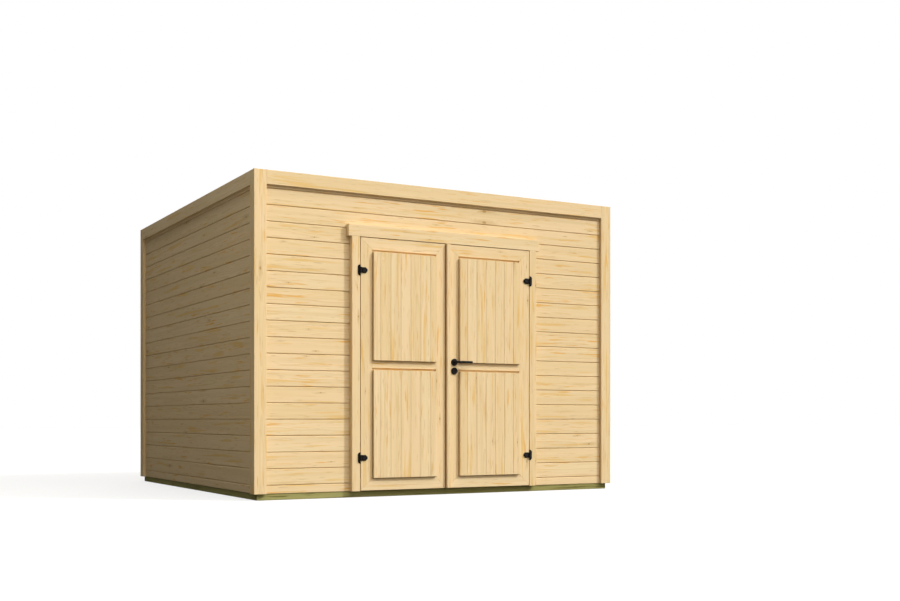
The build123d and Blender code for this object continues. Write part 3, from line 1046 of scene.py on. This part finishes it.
class SHED_OT_leaves(bpy.types.Operator):
    """Both door leaves: mitred frames, raised panels of upright boards and the meeting strip"""

    bl_idname = "shed.leaves"
    bl_label = "Door leaves"

    def execute(self, context):
        sizes = context.scene.shed_boards
        for side, leaf in enumerate(("left_leaf", "right_leaf")):
            low, high = sharp_box(f"{leaf}_stiles")
            panels = {part: sharp_box(f"{leaf}_{part}_panel") for part in ("lower", "upper")}
            rebate = panels["lower"][1][1]
            depths = (low[1], rebate, high[1])
            box = np.array([low[[0, 2]], high[[0, 2]]])
            gaps = np.array([[-sizes.panel_gap, -sizes.panel_gap], [sizes.panel_gap, sizes.panel_top_gap]])
            opening = np.array([panels["lower"][0][[0, 2]], panels["upper"][1][[0, 2]]]) + gaps
            lips = gaps + sizes.rebate_seat * np.sign(gaps)
            seat = opening - lips

            def corner(right, top):
                return [(rect[right][0], rect[top][1]) for rect in (box, opening, seat)]

            stiles = Timber(600 + side)
            rails = Timber(610 + side)
            for end in (0, 1):
                stile = corner(end, 0), corner(end, 1)
                rail = corner(0, end), corner(1, end)
                mitred_member(stiles, stile, depths, sizes.member_arris, upright=True)
                mitred_member(rails, rail, depths, sizes.member_arris, upright=False)
            stiles.piece(f"{leaf}_stile_boards", f"{leaf}_stiles", body=leaf)

            middle = np.array([panels["lower"][1][2], panels["upper"][0][2]]) + gaps[::-1, 1]
            middle_seat = middle - lips[::-1, 1]
            for layer, ends, far, thickness in (
                (opening, middle, rebate, rebate - low[1]),
                (seat, middle_seat, high[1], high[1] - rebate),
            ):
                outline = rectangle(layer[1, 0], ends[1], layer[0, 0], ends[0])
                rails.add(plank(outline, thickness, 0), ALONG * far, ACROSS, UP)
            rails.piece(f"{leaf}_rail_boards", f"{leaf}_rails", body=leaf)

            for seed, part in enumerate(("lower", "upper"), 620 + 2 * side):
                node = f"{leaf}_{part}_panel"
                boards = Timber(seed)
                panel_boards(boards, sizes, node)
                boards.piece(f"{leaf}_{part}_boards", node, body=leaf)

        single_board(640, "meeting_strip", UP, -ALONG, sizes.arris, body="right_leaf")
        return {"FINISHED"}


class SHED_OT_fittings(bpy.types.Operator):
    """Black hinges, rosettes and lever"""

    bl_idname = "shed.fittings"
    bl_label = "Fittings"

    def execute(self, context):
        sizes = context.scene.shed_fittings
        for side in ("left", "right"):
            dress(f"{side}_hinge_plates", powder_coated_steel())
            dress(f"{side}_hinge_straps", powder_coated_steel())

        screws = Shapes()
        head = button_head(sizes.screw_radius, sizes.screw_height)
        for node, side in (("left_hinge_plates", -1), ("right_hinge_plates", 1)):
            low, high = sharp_box(node)
            pin = (high[0] if side < 0 else low[0]) + side * (high[1] - low[1]) / 2
            x, y = pin + side * sizes.screw_inset, high[1] - sizes.plate_thickness
            for middle in (low[2] + sizes.plate_height / 2, high[2] - sizes.plate_height / 2):
                for step in (-1, 1):
                    z = middle + step * sizes.screw_spacing / 2
                    screws.add(head, np.array((x, y, z)), ACROSS, UP)
        screws.steel_piece("hinge_screws")

        cylinder = cylinder_outline(CYLINDER_HEAD, CYLINDER_RISE, CYLINDER_FOOT, CYLINDER_DROP)
        for node, hole in (("handle_rosette", circle(sizes.collar_radius)), ("key_rosette", cylinder)):
            low, high = sharp_box(node)
            thickness = high[1] - low[1]
            middle = (low + high) / 2
            origin = np.array((middle[0], high[1], middle[2]))
            plate = Shapes()
            disc = rosette((high[0] - low[0]) / 2, thickness, sizes.shoulder, hole, sizes.recess)
            plate.add(disc, origin, ACROSS, UP)
            if node == "key_rosette":
                face = origin + UP * CYLINDER_RISE - ALONG * (thickness - sizes.recess)
                plate.add(lock_plug(PLUG_RADIUS, PLUG_HEIGHT), face, ACROSS, UP)
            plate.steel_piece(f"{node}_plate", node, body="right_leaf")

        low, high = sharp_box("lever_handle")
        radius = (high[2] - low[2]) / 2
        reach, neck = (high - low)[:2] - radius
        rod = bent_rod(radius, neck, reach, sizes.lever_bend, sizes.lever_rounding)
        lever = Shapes()
        lever.add(rod, np.array((low[0] + radius, high[1], (low[2] + high[2]) / 2)), ACROSS, -ALONG)
        lever.steel_piece("lever_rod", "lever_handle", body="lever")
        return {"FINISHED"}


def button_head(radius, height):
    """A domed screw head with a six-sided socket.

    The dome's radius falls with the cosine of a turn, and its height rises with the turn's sine.
    """
    around, sides, per_side = 24, 6, 4
    foot_share, socket_share, floor_share, fullness = 0.98, 0.36, 0.4, 0.9
    turns = np.linspace(0.15, 0.8, 4) * QUARTER
    foot = [(circle(radius * foot_share, around), 0), (circle(radius, around), METAL_EDGE)]
    dome = [(circle(radius * math.cos(turn * fullness), around), height * math.sin(turn)) for turn in turns]
    corners = circle(radius * socket_share, sides).repeat(per_side, axis=0)
    share = np.tile(np.linspace(0, 1, per_side, endpoint=False), sides)[:, None]
    socket = corners * (1 - share) + np.roll(corners, -per_side, 0) * share
    top = dome[-1][1]
    return stack([*foot, *dome, (socket, top), (socket, top * floor_share)])


def lock_plug(radius, height):
    """The turning plug of a lock cylinder, with the slot for the key."""
    slot = oblong(*KEY_SLOT)
    rim, face = circle(radius), circle(radius - METAL_EDGE)
    floor = METAL_EDGE / 2
    return stack([(rim, 0), (rim, height - METAL_EDGE), (face, height), (slot, height), (slot, floor)])


class SHED_OT_stage(bpy.types.Operator):
    """Pale floor, sky, lamps and camera"""

    bl_idname = "shed.stage"
    bl_label = "Stage"

    def execute(self, context):
        stage = context.scene.shed_stage
        scene = context.scene
        mesh = bpy.data.meshes.new("studio_floor")
        corners = FLOOR_REACH * np.array([(-1, -1, 0), (1, -1, 0), (1, 1, 0), (-1, 1, 0)])
        mesh.from_pydata(corners.tolist(), [], [(0, 1, 2, 3)])
        mesh.materials.append(studio_floor(stage.floor_bounce, stage.floor_shown))
        floor = bpy.data.objects.new("studio_floor", mesh)
        scene.collection.objects.link(floor)
        floor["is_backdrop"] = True

        for name in LAMPS:
            strength, spread, height, bearing = (
                getattr(stage, f"{name}_{part}") for part in ("strength", "spread", "height", "bearing")
            )
            tint = SUN_TINT if name == "key" else FILL_TINT
            sun = add_lamp(f"{name}_light", "SUN", strength, tint, (QUARTER - height, 0, bearing))
            sun.data.angle = spread
        softbox = add_lamp(
            "left_softbox", "AREA", stage.left_power, FILL_TINT, (stage.left_tilt, 0, stage.left_bearing)
        )
        softbox.data.size = stage.left_size
        softbox.location = (stage.left_x, stage.left_y, stage.left_height)

        scene.world = studio_sky(stage.sky_strength)

        camera = bpy.data.objects.new("photo_camera", bpy.data.cameras.new("photo_camera"))
        camera.location = (stage.camera_x, stage.camera_y, stage.camera_height)
        camera.rotation_euler = (QUARTER, 0, -stage.camera_turn)
        camera.data.sensor_width = SENSOR_WIDTH
        camera.data.lens = stage.focal_pixels / FRAME_WIDTH * SENSOR_WIDTH
        camera.data.shift_y = stage.horizon_pixels / FRAME_WIDTH
        scene.collection.objects.link(camera)
        scene.camera = camera
        scene.view_settings.view_transform = "Standard"
        return {"FINISHED"}


def add_lamp(name, kind, strength, tint, turn):
    """A lamp that shines straight down before it is turned."""
    light = bpy.data.lights.new(name, kind)
    light.energy = strength
    light.color = tint
    lamp = bpy.data.objects.new(name, light)
    lamp.rotation_euler = turn
    bpy.context.scene.collection.objects.link(lamp)
    return lamp


def seen(finish):
    """1 for what the camera, gloss and glass see, and 0 for the light that falls on the shed."""
    camera = finish.node("ShaderNodeLightPath", output="Is Camera Ray")
    return camera + camera.out("Is Glossy Ray") + camera.out("Is Transmission Ray")


def studio_floor(bounce, shown):
    """A pale floor: it is seen near white with the shed's shadow, and throws back less light."""
    finish = Finish("studio_floor")
    lit = finish.node("ShaderNodeBsdfDiffuse", None, {"Color": shown})
    glow = finish.node("ShaderNodeEmission", None, {"Color": (1, 1, 1, 1), "Strength": 1.0})
    pale = finish.node("ShaderNodeMixShader", None, {0: FLOOR_GLOW, 1: lit, 2: glow})
    matt = finish.node("ShaderNodeBsdfDiffuse", None, {"Color": bounce})
    surface = finish.node("ShaderNodeMixShader", None, {0: seen(finish), 1: matt, 2: pale})
    finish.node("ShaderNodeOutputMaterial", None, {"Surface": surface})
    return finish.material


def studio_sky(strength):
    """A sky that is seen white, and gives a soft, even fill."""
    sky = Finish("studio_sky", bpy.data.worlds)
    level = seen(sky) * (1.0 - strength) + strength
    background = sky.node("ShaderNodeBackground", None, {"Color": (1, 1, 1, 1), "Strength": level})
    sky.node("ShaderNodeOutputWorld", None, {"Surface": background})
    return sky.material


class SHED_PT_panel(bpy.types.Panel):
    """Sidebar panel with the shed's sizes, colours and steps"""

    bl_idname = "SHED_PT_panel"
    bl_label = "Garden shed"
    bl_space_type = "VIEW_3D"
    bl_region_type = "UI"
    bl_category = "Shed"

    def draw(self, context):
        for group_name in GROUPS:
            group = getattr(context.scene, group_name)
            box = self.layout.box()
            for name in group.__annotations__:
                box.prop(group, name)
        for step in STEPS:
            self.layout.operator(step.bl_idname)


GROUPS = {
    "shed_boards": ShedBoards,
    "shed_fittings": ShedFittings,
    "shed_grain": ShedGrain,
    "shed_colours": ShedColours,
    "shed_stage": ShedStage,
}
STEPS = (
    SHED_OT_stage,
    SHED_OT_base,
    SHED_OT_floor,
    SHED_OT_walls,
    SHED_OT_trims,
    SHED_OT_roof,
    SHED_OT_doorway,
    SHED_OT_leaves,
    SHED_OT_fittings,
)


def register():
    for group in GROUPS.values():
        bpy.utils.register_class(group)
    for name, group in GROUPS.items():
        setattr(bpy.types.Scene, name, bpy.props.PointerProperty(type=group))
    for kind in (*STEPS, SHED_PT_panel):
        bpy.utils.register_class(kind)


def unregister():
    for kind in reversed((*STEPS, SHED_PT_panel)):
        bpy.utils.unregister_class(kind)
    for name, group in reversed(GROUPS.items()):
        delattr(bpy.types.Scene, name)
        bpy.utils.unregister_class(group)


def main():
    """Registers the add-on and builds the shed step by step."""
    register()
    for step in STEPS:
        family, name = step.bl_idname.split(".")
        getattr(getattr(bpy.ops, family), name)()
    boxes = {"cad": CAD_BOX, "visual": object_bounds()}
    boxes = {name: [list(corner) for corner in box] for name, box in boxes.items()}


if __name__ == "__main__":
    main()
